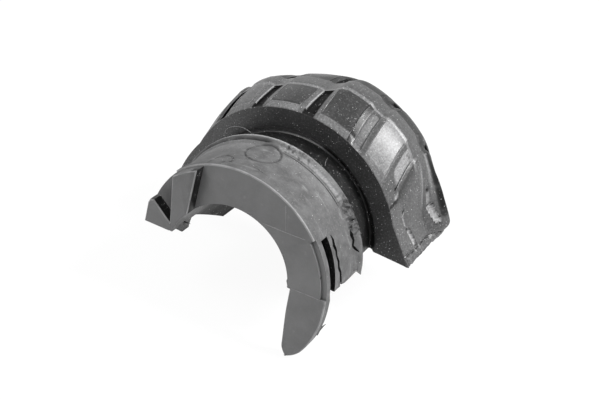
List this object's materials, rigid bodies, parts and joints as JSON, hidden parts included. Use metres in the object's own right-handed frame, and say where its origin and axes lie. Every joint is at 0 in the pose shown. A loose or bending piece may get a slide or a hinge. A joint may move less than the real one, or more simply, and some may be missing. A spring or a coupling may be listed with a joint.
{
  "type": "split anti-roll bar bushing half",
  "caption": "Half of a split rubber bushing for a sway bar: a grooved tread with feet, a smooth neck with a lip, and an end plate with a tongue and a notched keeper.",
  "frame": {"origin": "on the bore axis, in the plane of the front end plate's face", "axes": "the bar runs along Y and +Y points from the end plate to the tread; +Z is the crown side and the half arch is open towards -Z; +X is the side of the tongue"},
  "size_m": [0.0629, 0.0518, 0.0481],
  "materials": {
    "moulded_rubber": "satin, as moulded"
  },
  "bodies": {
    "root": {"bushing_half": "moulded_rubber"}
  },
  "joints": []
}
